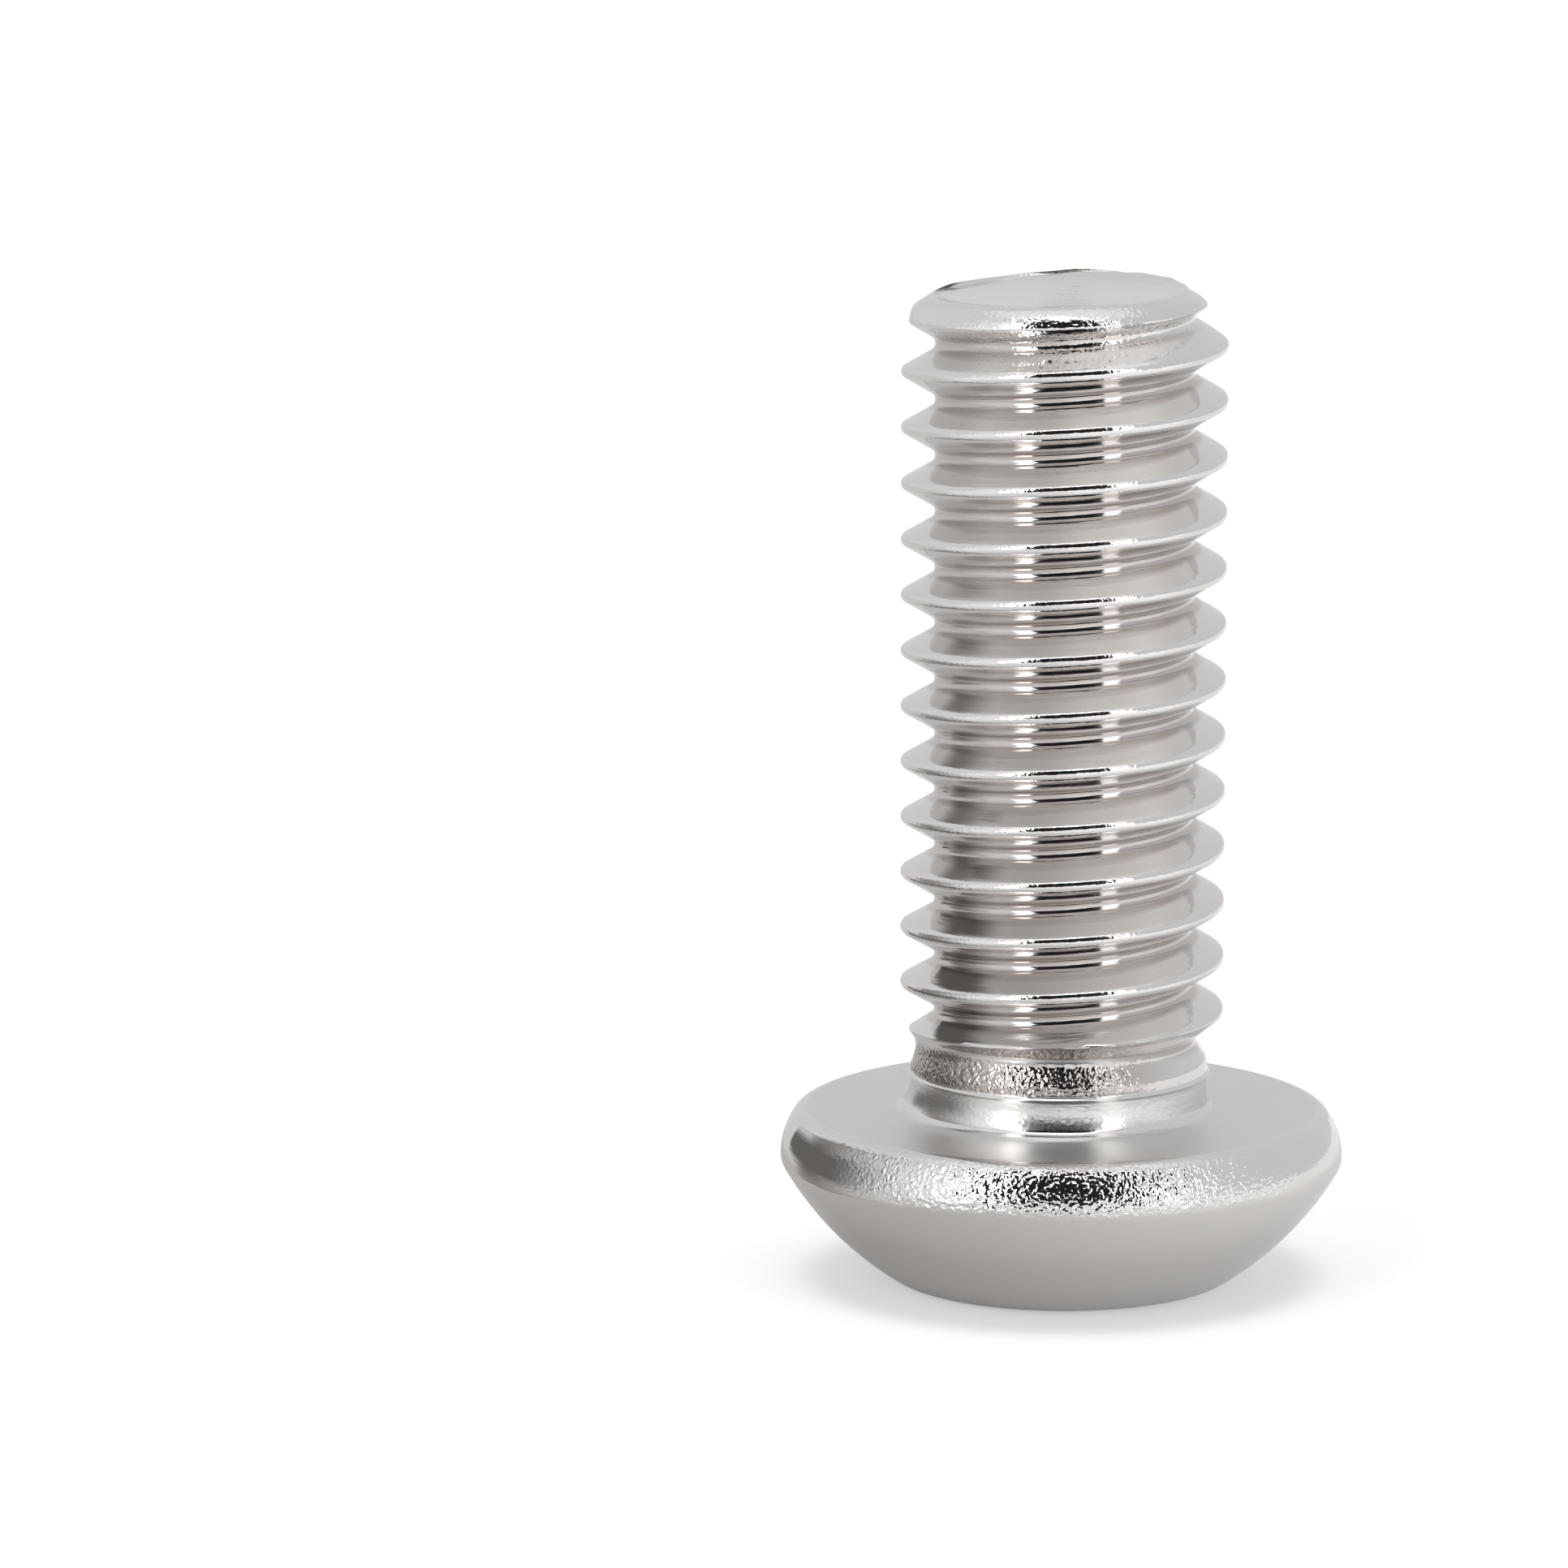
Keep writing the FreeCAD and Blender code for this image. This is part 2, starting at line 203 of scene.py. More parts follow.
# The tip's end face: the wire was sheared across here, and the rolling then dished the face a little and drew
# a lip up over one side. A thin burr stands along the rest of its far edge.
LIP_AZIMUTH = math.radians(55.0)
LIP_RISE = 0.11
LIP_SHARE = 0.06
LIP_TEAR = 0.035
TEAR_SCALE = 5.0
BURR_AZIMUTH = math.radians(112.0)
BURR_SPREAD = (math.radians(65.0), math.radians(35.0))
BURR_RISE = 0.085
BURR_SHARES = (0.012, 0.022, 0.045)
DISH = 0.06
ROLL_OVER = 0.07
# Shares of the way in from the edge to the middle, one for each ring of the face
FACE_SHARES = (0.006, 0.012, 0.022, 0.028, 0.033, 0.039, 0.045, 0.06, 0.08, 0.11, 0.16, 0.24, 0.34, 0.48,
               0.65, 0.82, 0.95)


def ring(place):
    """Draws the open edge out into one more ring, and sets each of its points by its azimuth."""
    bpy.ops.mesh.extrude_edges_move()
    shell = bmesh.from_edit_mesh(bpy.context.object.data)
    for point in shell.verts:
        if point.select:
            azimuth = math.atan2(point.co.y, point.co.x)
            point.co = on_shank(azimuth, *place(azimuth))
    bmesh.update_edit_mesh(bpy.context.object.data)


def lip_rise(azimuth, share):
    """How far the torn lip stands up from the face."""
    along = max(0.0, math.cos(azimuth - LIP_AZIMUTH)) ** 2
    across = share / LIP_SHARE * math.exp(1 - share / LIP_SHARE)
    spot = (TEAR_SCALE * math.cos(azimuth), TEAR_SCALE * math.sin(azimuth), share)
    return (LIP_RISE + LIP_TEAR * mathutils.noise.noise(spot)) * along * across


def burr_rise(azimuth, share):
    """How far the thin burr stands up from the face."""
    outer, top, inner = BURR_SHARES
    along = smooth_share(abs(azimuth % (2 * math.pi) - BURR_AZIMUTH), *BURR_SPREAD)
    return BURR_RISE * along * smooth_share(share, 0.0, outer) * smooth_share(share, inner, top)


def end_face(share):
    """Where a ring of the end face lies, at a share of the way in from its edge."""
    def place(azimuth):
        edge = shank_radius(azimuth, tip_height(azimuth))
        rolled_over = TIP_ROUNDING * (1 - max(0.0, 1 - share / ROLL_OVER) ** 2)
        raised = lip_rise(azimuth, share) + burr_rise(azimuth, share)
        lean = LEAN * math.cos(azimuth - LEAN_AZIMUTH) * (1 - share)
        dish = DISH * math.sin(share * math.pi / 2)
        height = SHANK_LENGTH - TIP_ROUNDING + rolled_over + raised + lean - dish
        return edge * (1 - share), height
    return place


bpy.ops.object.mode_set(mode="EDIT")
bpy.ops.mesh.select_all(action="DESELECT")
bpy.ops.mesh.select_mode(type="EDGE")
bpy.ops.mesh.select_non_manifold(extend=False)
shell = bmesh.from_edit_mesh(shank.data)
for edge in shell.edges:
    edge.select_set(edge.select and min(point.co.z for point in edge.verts) > BEVEL_START * MM)
bmesh.update_edit_mesh(shank.data)
for share in FACE_SHARES:
    ring(end_face(share))
bpy.ops.mesh.merge(type="CENTER")
bpy.ops.object.mode_set(mode="OBJECT")


# The head, pressed from the end of the same wire: a flat bearing face, a rolled-over edge, and a dome with a
# flat crown. The hexagon is punched up into the crown, with a countersunk mouth and the punch's shallow cone
# at its bottom. It is drawn ring by ring, from a ridge on the neck round to the bottom of the socket.
RIDGE_HEIGHT = 0.665
RIDGE_RISE = 0.055
RIDGE_WIDTH = 0.035
FOOT_HEIGHTS = (0.50, 0.14)
FOOT_REACHES = (0.10, 0.14)
FOOT_LEAN = 0.07
BEARING_EDGE = 4.70
HEAD_RADIUS = 5.05
HEAD_HEIGHT = 3.09
WIDEST = -0.86
RIM_RADIUS = 0.33
DOME_HEIGHT = 1.860
CROWN_EDGE = 2.98
MOUTH_RADIUS = 2.50
MOUTH_SLOPE = math.tan(math.radians(30.0))
KEY_SIZE = 4.00
SOCKET_FLOOR = -0.89
LEDGE_INSET = 0.03
PUNCH_RADIUS = 1.88
PUNCH_SLOPE = math.tan(math.radians(25.0))
EDGE_ROUNDING = 0.16
CROWN_ROUNDING = 0.16
MOUTH_ROUNDING = 0.05
# Where the rings lie: heights on the neck, radii on the flat face and the punch's cone, shares on the rest
NECK_RINGS = (0.725, 0.71, 0.695, 0.68, 0.665, 0.65, 0.635, 0.62, 0.605, 0.59, 0.53, 0.44, 0.34, 0.25, 0.18,
              0.14, 0.10, 0.07, 0.04, 0.02, 0.0)
BEARING_RINGS = (3.35, 3.7, 4.05, 4.35)
MOUTH_RINGS = (0.5, 0.9, 1.0)
WALL_RINGS = (0.03, 0.35, 0.7, 0.97)
PUNCH_RINGS = (PUNCH_RADIUS, 1.84, 1.5, 1.1, 0.7, 0.4, 0.2)
EDGE_STEPS = 12
RIM_STEPS = 7
DOME_STEPS = 20
ROUNDING_STEPS = 5


def neck(height):
    """Where a ring of the neck lies: a ridge where the rolling dies ended, and a foot that turns outward."""
    def place(azimuth):
        ridge = RIDGE_RISE * math.exp(-((height - RIDGE_HEIGHT) / RIDGE_WIDTH) ** 2)
        foot_reach = FOOT_REACHES[0] - FOOT_LEAN * math.cos(azimuth)
        foot = foot_reach * max(0.0, 1 - height / FOOT_HEIGHTS[0]) ** 2
        fillet = FOOT_REACHES[1] * max(0.0, 1 - height / FOOT_HEIGHTS[1]) ** 2
        return shank_radius(azimuth, NECK_JOIN) + ridge + foot + fillet, height
    return place


def arc_points(across, up, radius, first, last, steps):
    """Points of a section along an arc, from one angle to another."""
    angles = [first + (last - first) * step / steps for step in range(steps + 1)]
    return [(across + radius * math.cos(angle), up + radius * math.sin(angle)) for angle in angles]


def rounded(before, corner, after, size):
    """Points that round a corner off, starting and ending at one distance from it."""
    corner = Vector(corner)
    start = corner + (Vector(before) - corner).normalized() * size
    end = corner + (Vector(after) - corner).normalized() * size
    shares = [step / ROUNDING_STEPS for step in range(ROUNDING_STEPS + 1)]
    return [tuple(start * (1 - share) ** 2 + corner * 2 * share * (1 - share) + end * share ** 2)
            for share in shares]


def head_section():
    """Half the head's section, from the bearing face round to the mouth of the socket."""
    edge_inset = HEAD_RADIUS - BEARING_EDGE
    edge_radius = (edge_inset ** 2 + WIDEST ** 2) / (2 * edge_inset)
    edge_middle = HEAD_RADIUS - edge_radius
    edge_start = math.atan2(-WIDEST, BEARING_EDGE - edge_middle)
    rim_middle = HEAD_RADIUS - RIM_RADIUS
    dome_radius = math.hypot(CROWN_EDGE, DOME_HEIGHT + HEAD_HEIGHT)
    dome_start = math.atan2(WIDEST - DOME_HEIGHT, rim_middle)
    dome_end = math.atan2(-HEAD_HEIGHT - DOME_HEIGHT, CROWN_EDGE)
    crown = (CROWN_EDGE, -HEAD_HEIGHT)
    mouth = (MOUTH_RADIUS, -HEAD_HEIGHT)
    cone = (MOUTH_RADIUS - MOUTH_ROUNDING, -HEAD_HEIGHT + MOUTH_ROUNDING * MOUTH_SLOPE)
    bearing = [(radius, 0.0) for radius in BEARING_RINGS]
    edge = arc_points(edge_middle, WIDEST, edge_radius, edge_start, 0.0, EDGE_STEPS)
    rim = arc_points(rim_middle, WIDEST, RIM_RADIUS, 0.0, dome_start, RIM_STEPS)
    dome = arc_points(0.0, DOME_HEIGHT, dome_radius, dome_start, dome_end, DOME_STEPS)
    return (bearing + rounded(bearing[-1], (BEARING_EDGE, 0.0), edge[1], EDGE_ROUNDING) + edge[2:]
            + rim[1:] + dome[1:-1] + rounded(dome[-2], crown, mouth, CROWN_ROUNDING)
            + rounded(crown, mouth, cone, MOUTH_ROUNDING))


def hexagon_radius(azimuth):
    """Distance from the axis to the wall of the socket, whose corners lie along X."""
    side = math.radians(60.0)
    return KEY_SIZE / 2 / math.cos(azimuth % side - side / 2)


def cone_height(radius):
    """Height of the mouth's cone at a radius."""
    return -HEAD_HEIGHT + (MOUTH_RADIUS - radius) * MOUTH_SLOPE


def countersink(share):
    """Where a ring on the mouth's cone lies, between its circle and the line where it meets the hexagon."""
    def place(azimuth):
        radius = MOUTH_RADIUS + (hexagon_radius(azimuth) - MOUTH_RADIUS) * share
        return radius, cone_height(radius)
    return place


def wall(share, inset=0.0):
    """Where a ring on the hexagon's walls lies, between the mouth's cone and the socket's floor."""
    def place(azimuth):
        radius = hexagon_radius(azimuth)
        top = cone_height(radius)
        return radius - inset, top + (SOCKET_FLOOR - top) * share
    return place


def level(radius, height):
    """A plain round ring."""
    def place(azimuth):
        return radius, height
    return place


bpy.ops.object.select_all(action="DESELECT")
bpy.ops.mesh.primitive_circle_add(vertices=COLUMNS, radius=NECK_RADIUS * MM)
head = bpy.context.object
for point in head.data.vertices:
    azimuth = math.atan2(point.co.y, point.co.x)
    point.co = on_shank(azimuth, shank_radius(azimuth, NECK_JOIN), NECK_JOIN)
bpy.ops.object.mode_set(mode="EDIT")
bpy.ops.mesh.select_all(action="SELECT")
for height in NECK_RINGS:
    ring(neck(height))
for radius, height in head_section():
    ring(level(radius, height))
for share in MOUTH_RINGS:
    ring(countersink(share))
for share in WALL_RINGS:
    ring(wall(share))
ring(wall(1.0, inset=LEDGE_INSET))
for radius in PUNCH_RINGS:
    ring(level(radius, SOCKET_FLOOR + (PUNCH_RADIUS - radius) * PUNCH_SLOPE))
bpy.ops.mesh.merge(type="CENTER")
bpy.ops.object.mode_set(mode="OBJECT")


# Head and shank are one piece of metal, so the two meshes become one. The head's first ring lies on the
# shank's lowest one, at the neck, and is merged with it.
SMOOTH_ANGLE = math.radians(52.0)
bpy.ops.object.select_all(action="DESELECT")
head.select_set(True)
shank.select_set(True)
bpy.context.view_layer.objects.active = head
bpy.ops.object.join()
screw = head
screw.name = "screw"
bpy.ops.object.mode_set(mode="EDIT")
bpy.ops.mesh.select_all(action="SELECT")
bpy.ops.mesh.remove_doubles(threshold=MERGE_DISTANCE)
bpy.ops.mesh.normals_make_consistent(inside=False)
bpy.ops.object.mode_set(mode="OBJECT")
bpy.ops.object.shade_smooth_by_angle(angle=SMOOTH_ANGLE)

# Its surface: bright nickel, with the fine lines that rolling draws round the shank and peel where the metal
# was free to move. A darker brownish tone is painted on as shade on the thread's downward flanks, in its
# roots and on the neck, and a near-black line of painted shade runs along the burr at the tip.
METAL = (0.775, 0.766, 0.758, 1.0)
PAINTED_SHADE_TONE = (0.50, 0.465, 0.445, 1.0)
BURR_PAINTED_SHADE = (0.10, 0.09, 0.085, 1.0)
FLANK_PAINTED_SHADE = 0.27
ROOT_PAINTED_SHADE = 0.72
NECK_PAINTED_SHADE = 1.0
ROUGHNESS = 0.075
NECK_ROUGHNESS = 0.12
WALL_ROUGHNESS = 0.17
BEARING_ROUGHNESS = 0.30
PEEL_ROUGHNESS = 0.03
GRAIN_LINES = 10.0
GRAIN_TURN = 2.2
GRAIN_DETAIL = 3.0
GRAIN_HEIGHT = 0.30
PEEL_SCALE = 11.5
PEEL_CREASES = 1.0
PEEL_DETAIL = 1.0
CREASE_SCALE = 0.8
CREASE_SLICE = 3.7
PEEL_HEIGHT = 2.2
TIP_PEEL = 0.45
CREST_PEEL = 0.22
NECK_PEEL = 1.10
WALL_PEEL = 0.13
DOME_PEEL = 0.08
BUMP_DISTANCE = 0.012 * MM
# Where each finish and each painted shade fades in, from nothing to full: heights, distances from the axis,
# and sides
RIM_TOP = (-0.02, -0.15)
RIM_FOOT = (-1.05, -0.72)
RIM_SIDES = (4.4, 3.0)
RIM_INNER = (4.0, 4.4)
DOME_TOP = (-0.90, -1.20)
DOME_INNER = (2.55, 2.75)
TIP_INNER = (2.10, 2.35)
TIP_FOOT = (13.75, 14.15)
BEARING_FOOT = (-0.02, -0.005)
BEARING_TOP = (0.05, 0.01)
BEARING_OUTER = (4.64, 4.54)
BAND_TOP = (1.35, 1.15)
BAND_FOOT = (0.70, 0.76)
BAND_SIDE = (2.4, 0.4)
WALL_TOP = (0.61, 0.57)
WALL_FOOT = (0.10, 0.16)
CREST_INNER = (2.84, 2.88)
CREST_FOOT = (1.0, 1.4)
BURR_INNER = (2.24, 2.27)
BURR_FOOT = (14.64, 14.67)
BURR_RIGHT = (0.40, 0.20)
BURR_FRONT = (0.0, 0.20)
THREAD_FOOT = (0.2, 0.9)
THREAD_TOP = (14.2, 14.0)
THREAD_OUTER = (2.92, 2.80)
ROOT_OUTER = (2.50, 2.38)
FACING_DOWN = (0.0, -0.6)


def feed(tree, socket, value):
    """Sets a node's input to a value, or links it to another node's output."""
    if isinstance(value, bpy.types.NodeSocket):
        tree.links.new(value, socket)
    else:
        socket.default_value = value


def maths(tree, operation, *values):
    """A math node's result for the values given."""
    node = tree.nodes.new("ShaderNodeMath")
    node.operation = operation
    for socket, value in zip(node.inputs, values):
        feed(tree, socket, value)
    return node.outputs[0]


def product(tree, first, *others):
    """Several values multiplied together: where they are masks, the place that all of them share."""
    for other in others:
        first = maths(tree, "MULTIPLY", first, other)
    return first


def between(tree, value, span):
    """Rises smoothly from 0 to 1 as the value goes from the start of a span to its end."""
    node = tree.nodes.new("ShaderNodeMapRange")
    node.interpolation_type = "SMOOTHSTEP"
    feed(tree, node.inputs["Value"], value)
    node.inputs["From Min"].default_value = span[0]
    node.inputs["From Max"].default_value = span[1]
    return node.outputs["Result"]


def separated(tree, vector):
    """The three parts of a vector, by name."""
    node = tree.nodes.new("ShaderNodeSeparateXYZ")
    tree.links.new(vector, node.inputs[0])
    return node.outputs


def height_group(name, **inputs):
    """A group of nodes that puts out a height, with its named inputs at the values given."""
    tree = bpy.data.node_groups.new(name, "ShaderNodeTree")
    for title, value in inputs.items():
        tree.interface.new_socket(title, in_out="INPUT", socket_type="NodeSocketFloat").default_value = value
    tree.interface.new_socket("Height", in_out="OUTPUT", socket_type="NodeSocketFloat")
    return tree, tree.nodes.new("NodeGroupInput").outputs, tree.nodes.new("NodeGroupOutput").inputs["Height"]


def group_height(tree, group, **values):
    """The height that a group of nodes puts out in a material, with that material's own values."""
    node = tree.nodes.new("ShaderNodeGroup")
    node.node_tree = group
    for title, value in values.items():
        node.inputs[title].default_value = value
    return node.outputs["Height"]


def scaled(tree, vector, scale):
    """A vector made longer or shorter."""
    node = tree.nodes.new("ShaderNodeVectorMath")
    node.operation = "SCALE"
    tree.links.new(vector, node.inputs[0])
    feed(tree, node.inputs["Scale"], scale)
    return node.outputs[0]


def in_millimetres(tree):
    """The place on the object, in millimetres."""
    return scaled(tree, tree.nodes.new("ShaderNodeTexCoord").outputs["Object"], 1 / MM)


def noise(tree, vector, scale, detail, extra=None):
    """A noise pattern's value, in three dimensions or with a fourth one given."""
    node = tree.nodes.new("ShaderNodeTexNoise")
    if extra is not None:
        node.noise_dimensions = "4D"
        feed(tree, node.inputs["W"], extra)
    feed(tree, node.inputs["Vector"], vector)
    feed(tree, node.inputs["Scale"], scale)
    node.inputs["Detail"].default_value = detail
    return node.outputs["Fac"]


def axis_parts(tree):
    """The way out from the axis, the distance from it, the height and the side of a place on the object."""
    parts = separated(tree, in_millimetres(tree))
    flat = tree.nodes.new("ShaderNodeCombineXYZ")
    tree.links.new(parts["X"], flat.inputs["X"])
    tree.links.new(parts["Y"], flat.inputs["Y"])
    reach = tree.nodes.new("ShaderNodeVectorMath")
    reach.operation = "LENGTH"
    tree.links.new(flat.outputs[0], reach.inputs[0])
    way = tree.nodes.new("ShaderNodeVectorMath")
    way.operation = "NORMALIZE"
    tree.links.new(flat.outputs[0], way.inputs[0])
    return way.outputs[0], reach.outputs["Value"], parts["Z"], parts["X"]


# Lines round the axis, as a die or a tool leaves them: long one way and fine the other
grain, grain_in, grain_out = height_group("rolled_grain", Lines=GRAIN_LINES, Turn=GRAIN_TURN)
way, reach, height, _ = axis_parts(grain)
raised = grain.nodes.new("ShaderNodeCombineXYZ")
grain.links.new(maths(grain, "MULTIPLY", height, grain_in["Lines"]), raised.inputs["Z"])
lines_place = grain.nodes.new("ShaderNodeVectorMath")
grain.links.new(scaled(grain, way, grain_in["Turn"]), lines_place.inputs[0])
grain.links.new(raised.outputs[0], lines_place.inputs[1])
lines_depth = maths(grain, "MULTIPLY", reach, grain_in["Lines"])
grain.links.new(noise(grain, lines_place.outputs[0], 1.0, GRAIN_DETAIL, lines_depth), grain_out)

# Peel: small pits with fine creases between them, where the metal flowed without a die against it
peel, peel_in, peel_out = height_group("peel", Scale=PEEL_SCALE, Creases=PEEL_CREASES)
place = in_millimetres(peel)
pits = noise(peel, place, peel_in["Scale"], PEEL_DETAIL)
creases = noise(peel, place, maths(peel, "MULTIPLY", peel_in["Scale"], CREASE_SCALE), 0.0, CREASE_SLICE)
creases = maths(peel, "ABSOLUTE", maths(peel, "SUBTRACT", creases, 0.5))
peel.links.new(maths(peel, "MULTIPLY_ADD", creases, peel_in["Creases"], pits), peel_out)

plate = bpy.data.materials.new("bright_plate")
plate.use_nodes = True
tree = plate.node_tree
shader = tree.nodes["Principled BSDF"]
shader.inputs["Metallic"].default_value = 1.0
way, reach, height, side = axis_parts(tree)
outward = separated(tree, way)
either_side = maths(tree, "ABSOLUTE", side)
on_rim = product(tree, between(tree, height, RIM_TOP), between(tree, height, RIM_FOOT),
                 between(tree, either_side, RIM_SIDES), between(tree, reach, RIM_INNER))
on_dome = product(tree, between(tree, height, DOME_TOP), between(tree, reach, DOME_INNER))
on_tip = product(tree, between(tree, reach, TIP_INNER), between(tree, height, TIP_FOOT))
on_bearing = product(tree, between(tree, height, BEARING_FOOT), between(tree, height, BEARING_TOP),
                     between(tree, reach, BEARING_OUTER))
on_neck = product(tree, between(tree, height, BAND_TOP), between(tree, height, BAND_FOOT),
                  between(tree, side, BAND_SIDE))
on_wall = product(tree, between(tree, height, WALL_TOP), between(tree, height, WALL_FOOT))
on_crest = product(tree, between(tree, reach, CREST_INNER), between(tree, height, CREST_FOOT))
# Painted shade: a near-black line along the burr at the tip's outer edge, on the far side and away from the
# right
burr_painted_shade = product(tree, between(tree, reach, BURR_INNER), between(tree, height, BURR_FOOT),
                  between(tree, outward["X"], BURR_RIGHT), between(tree, outward["Y"], BURR_FRONT))
peeled = on_rim
for part, share in ((on_tip, TIP_PEEL), (on_crest, CREST_PEEL), (on_neck, NECK_PEEL), (on_wall, WALL_PEEL),
                    (on_dome, DOME_PEEL)):
    peeled = maths(tree, "MAXIMUM", peeled, product(tree, part, share))
lines_height = group_height(tree, grain, Lines=GRAIN_LINES, Turn=GRAIN_TURN)
peel_height = group_height(tree, peel, Scale=PEEL_SCALE, Creases=PEEL_CREASES)
surface = maths(tree, "MULTIPLY_ADD", product(tree, peel_height, PEEL_HEIGHT), peeled,
                product(tree, lines_height, GRAIN_HEIGHT))
bump = tree.nodes.new("ShaderNodeBump")
bump.inputs["Distance"].default_value = BUMP_DISTANCE
tree.links.new(surface, bump.inputs["Height"])
tree.links.new(bump.outputs[0], shader.inputs["Normal"])

roughness = ROUGHNESS
for part, added in ((on_bearing, BEARING_ROUGHNESS), (on_neck, NECK_ROUGHNESS), (on_wall, WALL_ROUGHNESS),
                    (peeled, PEEL_ROUGHNESS - ROUGHNESS)):
    roughness = maths(tree, "MULTIPLY_ADD", part, added, roughness)
tree.links.new(roughness, shader.inputs["Roughness"])

leaning = separated(tree, tree.nodes.new("ShaderNodeTexCoord").outputs["Normal"])
in_thread = product(tree, between(tree, height, THREAD_FOOT), between(tree, reach, THREAD_OUTER),
                    between(tree, height, THREAD_TOP))
# Painted shade: a darker brownish tone on the thread's downward-facing flanks and in its roots, and on the
# neck
thread_and_neck_painted_shade = maths(tree, "MAXIMUM", product(tree, between(tree, leaning["Z"], FACING_DOWN), FLANK_PAINTED_SHADE),
               product(tree, between(tree, reach, ROOT_OUTER), ROOT_PAINTED_SHADE))
thread_and_neck_painted_shade = maths(tree, "MAXIMUM", product(tree, thread_and_neck_painted_shade, in_thread), product(tree, on_neck, NECK_PAINTED_SHADE))
colour = METAL
for part, covering in ((thread_and_neck_painted_shade, PAINTED_SHADE_TONE), (burr_painted_shade, BURR_PAINTED_SHADE)):
    coat = tree.nodes.new("ShaderNodeMix")
    coat.data_type = "RGBA"
    tree.links.new(part, coat.inputs["Factor"])
    feed(tree, coat.inputs["A"], colour)
    coat.inputs["B"].default_value = covering
    colour = coat.outputs["Result"]
tree.links.new(colour, shader.inputs["Base Color"])
screw.data.materials.clear()
screw.data.materials.append(plate)
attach(screw, "root")
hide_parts("button_head_screw")


# The stage: a white floor that the screw stands on. To the camera it is white away from the screw's shadow,
# which is its real shadow made darker by a painted shadow within about 4 to 5 mm of the axis, under the
# head's edge.
# The metal sees light of the floor's own as well: more at the right and farther out, and most in front.
FLOOR_SIZE = 3000.0
FLOOR_COLOUR = (0.62, 0.605, 0.595, 1.0)
FLOOR_GAP = 0.01
FLOOR_TO_CAMERA = 0.56
PAINTED_CONTACT_SHADOW = 0.28
# The light that only the metal sees, and the sides, distances and ways out over which each share fades in
LEFT_FLOOR_TO_METAL = 0.02
RIGHT_FLOOR_TO_METAL = 0.26
OUTER_FLOOR_TO_METAL = 0.14
FRONT_FLOOR_TO_METAL = 0.18
FAR_FLOOR_TO_METAL = 0.50
LEFT_TO_RIGHT = (-7.0, 7.0)
OUTER_REACH = (13.0, 22.0)
FRONT_REACH = (6.5, 15.0)
FAR_REACH = (90.0, 200.0)
BACK_TO_FRONT = (0.3, -0.3)
# The distances from the axis over which the painted shadow that the camera sees on the floor fades in
PAINTED_SHADOW_REACH = (5.1, 4.1)


def stage_material(name):
    """A material without nodes, for something that sends out its own light, and its tree."""
    material = bpy.data.materials.new(name)
    material.use_nodes = True
    material.cycles.emission_sampling = "NONE"
    material.node_tree.nodes.clear()
    return material, material.node_tree


def put_out(tree, shader_output):
    """Makes a shader's output the surface of its material."""
    output = tree.nodes.new("ShaderNodeOutputMaterial")
    tree.links.new(shader_output, output.inputs["Surface"])


bpy.ops.object.select_all(action="DESELECT")
bpy.ops.mesh.primitive_plane_add(size=FLOOR_SIZE * MM, location=(0.0, 0.0, -(HEAD_HEIGHT + FLOOR_GAP) * MM))
floor = bpy.context.object
floor.name = "floor"
paper, tree = stage_material("white_paper")
ray = tree.nodes.new("ShaderNodeLightPath").outputs
way, reach, _, side = axis_parts(tree)
from_left = between(tree, side, LEFT_TO_RIGHT)
near = maths(tree, "MULTIPLY_ADD", from_left, RIGHT_FLOOR_TO_METAL - LEFT_FLOOR_TO_METAL, LEFT_FLOOR_TO_METAL)
near = maths(tree, "MULTIPLY_ADD", between(tree, reach, OUTER_REACH), OUTER_FLOOR_TO_METAL, near)
ahead = product(tree, between(tree, reach, FAR_REACH), FAR_FLOOR_TO_METAL)
ahead = maths(tree, "MULTIPLY_ADD", between(tree, reach, FRONT_REACH), FRONT_FLOOR_TO_METAL, ahead)
in_front = between(tree, separated(tree, way)["Y"], BACK_TO_FRONT)
to_metal = maths(tree, "MULTIPLY_ADD", ahead, in_front, near)
mirrored = maths(tree, "MAXIMUM", ray["Is Glossy Ray"], ray["Is Transmission Ray"])
# Painted shadow: the floor's glow to the camera is cut down near the head
painted_floor_shadow = maths(tree, "MULTIPLY_ADD", between(tree, reach, PAINTED_SHADOW_REACH), -PAINTED_CONTACT_SHADOW, 1.0)
to_camera = product(tree, painted_floor_shadow, FLOOR_TO_CAMERA, ray["Is Camera Ray"])
diffuse = tree.nodes.new("ShaderNodeBsdfDiffuse")
diffuse.inputs["Color"].default_value = FLOOR_COLOUR
glow = tree.nodes.new("ShaderNodeEmission")
feed(tree, glow.inputs["Strength"], maths(tree, "MULTIPLY_ADD", mirrored, to_metal, to_camera))
both = tree.nodes.new("ShaderNodeAddShader")
tree.links.new(diffuse.outputs[0], both.inputs[0])
tree.links.new(glow.outputs[0], both.inputs[1])
put_out(tree, both.outputs[0])
floor.data.materials.append(paper)


# The light tent: a dome of white cloth round the stage, which the metal mirrors. It is open in front, where
# the camera stands in the dark. A lamp is behind the cloth on each side of the opening, and a strip light
# hangs above it.
TENT_RADIUS = 450.0
TENT_SEGMENTS = 48
TENT_RINGS = 24
CLOTH_COLOUR = (1.0, 0.995, 0.99, 1.0)
WALL_LIGHT = 0.70
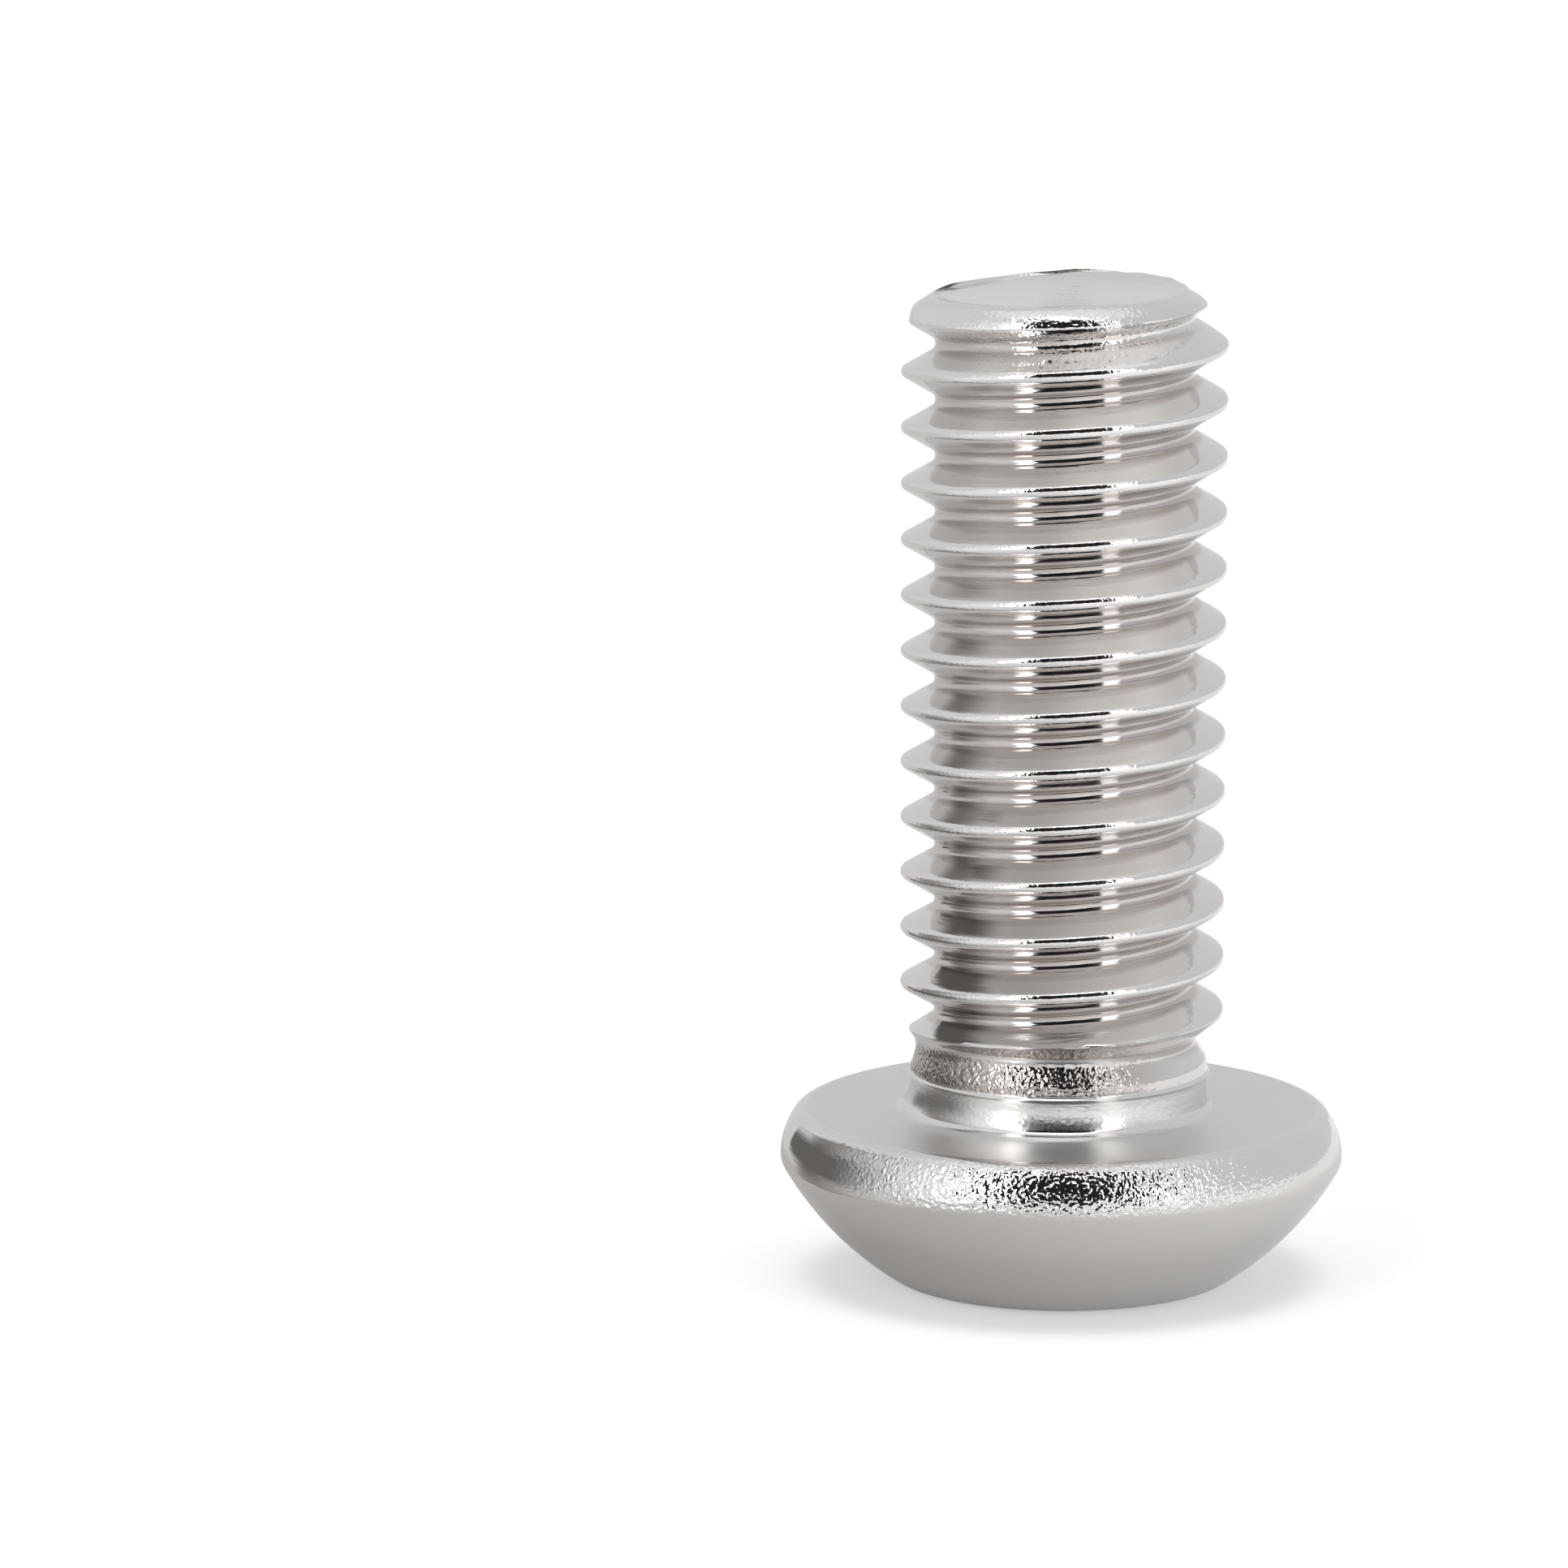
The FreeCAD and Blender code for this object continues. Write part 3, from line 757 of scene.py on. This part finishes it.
# Each patch has its azimuth from the camera's side, its elevation and the softness of its edges, in degrees,
# and then its light
PATCHES = (
    ("left_wall", (-150.0, -60.0), (-20.0, 60.0), 15.0, 0.77),
    ("overhead", (-200.0, 200.0), (60.0, 100.0), 5.0, 0.95),
    ("strip", (-58.0, 52.0), (62.0, 84.0), 4.0, 1.90),
    ("sill", (-50.0, 50.0), (-20.0, 3.0), 1.5, 1.25),
    ("opening", (-35.0, 33.0), (3.0, 63.0), 2.0, 0.10),
    ("lens", (-29.0, 27.0), (6.0, 60.0), 5.0, 0.02),
    ("left_lamp", (-50.0, -32.0), (-8.0, 52.0), 2.0, 3.90),
    ("left_glow", (-75.0, -46.0), (-8.0, 52.0), 6.0, 0.95),
    ("right_lamp", (33.0, 48.0), (-8.0, 52.0), 2.0, 2.10),
)
bpy.ops.object.select_all(action="DESELECT")
bpy.ops.mesh.primitive_uv_sphere_add(segments=TENT_SEGMENTS, ring_count=TENT_RINGS, radius=TENT_RADIUS * MM)
tent = bpy.context.object
tent.name = "light_tent"
bpy.ops.object.mode_set(mode="EDIT")
bpy.ops.mesh.select_all(action="SELECT")
bpy.ops.mesh.bisect(plane_co=(0.0, 0.0, -HEAD_HEIGHT * MM), plane_no=(0.0, 0.0, 1.0), clear_inner=True)
bpy.ops.object.mode_set(mode="OBJECT")
tent.visible_camera = False
cloth, tree = stage_material("tent_cloth")
parts = separated(tree, tree.nodes.new("ShaderNodeTexCoord").outputs["Object"])
turned = maths(tree, "DEGREES", maths(tree, "ARCTAN2", parts["X"], maths(tree, "MULTIPLY", parts["Y"], -1.0)))
risen = maths(tree, "DEGREES", maths(tree, "ARCSINE", maths(tree, "DIVIDE", parts["Z"], TENT_RADIUS * MM)))
light = WALL_LIGHT
for name, turn_span, rise_span, softness, strength in PATCHES:
    mask = 1.0
    for angle, (low, high) in ((turned, turn_span), (risen, rise_span)):
        mask = product(tree, between(tree, angle, (low - softness, low + softness)),
                       between(tree, angle, (high + softness, high - softness)), mask)
    blend = tree.nodes.new("ShaderNodeMix")
    blend.label = name
    feed(tree, blend.inputs["Factor"], mask)
    feed(tree, blend.inputs["A"], light)
    feed(tree, blend.inputs["B"], strength)
    light = blend.outputs["Result"]
lit = tree.nodes.new("ShaderNodeEmission")
lit.inputs["Color"].default_value = CLOTH_COLOUR
tree.links.new(light, lit.inputs["Strength"])
put_out(tree, lit.outputs[0])
tent.data.materials.append(cloth)


# A grey felt flag stands on the floor at the left, and the metal mirrors it as a soft darker side. A band at
# the height of the head is wider and darker, and the rest is narrower, with softer sides.
FLAG_PLACE = (-9.5, 3.65)
FLAG_SIZE = (20.0, 11.0)
FLAG_TURN = math.radians(-72.0)
FLAG_COLOUR = (1.0, 0.95, 0.91, 1.0)
BAND_LIGHT = 0.15
FLAG_LIGHT = 0.28
# Where it fades in, by shares of its size from its middle
BAND_LOWER = (-0.42, -0.30)
BAND_UPPER = (0.0, -0.16)
BAND_FRONT = (0.50, 0.25)
FLAG_FRONT = (0.44, 0.15)
FLAG_BACK = (-0.13, 0.12)
FLAG_TOP = (0.5, 0.2)
bpy.ops.object.select_all(action="DESELECT")
bpy.ops.mesh.primitive_plane_add(size=1.0, rotation=(math.radians(90.0), 0.0, FLAG_TURN))
flag = bpy.context.object
flag.name = "flag"
flag.scale = (FLAG_SIZE[0] * MM, FLAG_SIZE[1] * MM, 1.0)
flag.location = Vector((*FLAG_PLACE, -HEAD_HEIGHT + FLAG_SIZE[1] / 2)) * MM
flag.visible_camera = False
flag.visible_diffuse = False
flag.visible_shadow = False
felt, tree = stage_material("flag_felt")
parts = separated(tree, tree.nodes.new("ShaderNodeTexCoord").outputs["Object"])
band = product(tree, between(tree, parts["Y"], BAND_LOWER), between(tree, parts["Y"], BAND_UPPER))
wide = product(tree, between(tree, parts["X"], BAND_FRONT), band)
narrow = product(tree, between(tree, parts["X"], FLAG_FRONT), between(tree, parts["X"], FLAG_BACK))
solid = product(tree, maths(tree, "MAXIMUM", wide, narrow), between(tree, parts["Y"], FLAG_TOP))
grey = tree.nodes.new("ShaderNodeEmission")
grey.inputs["Color"].default_value = FLAG_COLOUR
feed(tree, grey.inputs["Strength"], maths(tree, "MULTIPLY_ADD", band, BAND_LIGHT - FLAG_LIGHT, FLAG_LIGHT))
clear = tree.nodes.new("ShaderNodeBsdfTransparent")
cover = tree.nodes.new("ShaderNodeMixShader")
tree.links.new(solid, cover.inputs["Fac"])
tree.links.new(clear.outputs[0], cover.inputs[1])
tree.links.new(grey.outputs[0], cover.inputs[2])
put_out(tree, cover.outputs[0])
flag.data.materials.append(felt)


# The room outside the tent is plain white, and is the background behind the stage.
ROOM_COLOUR = (1.0, 1.0, 1.0, 1.0)
ROOM_LIGHT = 1.0
world = bpy.data.worlds.new("studio")
bpy.context.scene.world = world
world.use_nodes = True
background = world.node_tree.nodes["Background"]
background.inputs["Color"].default_value = ROOM_COLOUR
background.inputs["Strength"].default_value = ROOM_LIGHT


# The camera looks down a little at the screw, from in front and left of it, as in the photograph.
LENS = 177.65
SENSOR = 36.0
NEAR_CLIP = 1.0
CAMERA_PLACE = (-4.95, -136.1, 30.0)
LOOK_DOWN = 10.05
ROLL = 0.07
camera_data = bpy.data.cameras.new("camera")
camera_data.sensor_width = SENSOR
camera_data.lens = LENS
camera_data.clip_start = NEAR_CLIP * MM
camera = bpy.data.objects.new("camera", camera_data)
bpy.context.scene.collection.objects.link(camera)
camera.location = Vector(CAMERA_PLACE) * MM
camera.rotation_euler = (math.radians(90.0 - LOOK_DOWN), math.radians(ROLL), 0.0)
bpy.context.scene.camera = camera
bpy.context.scene.view_settings.view_transform = "Standard"
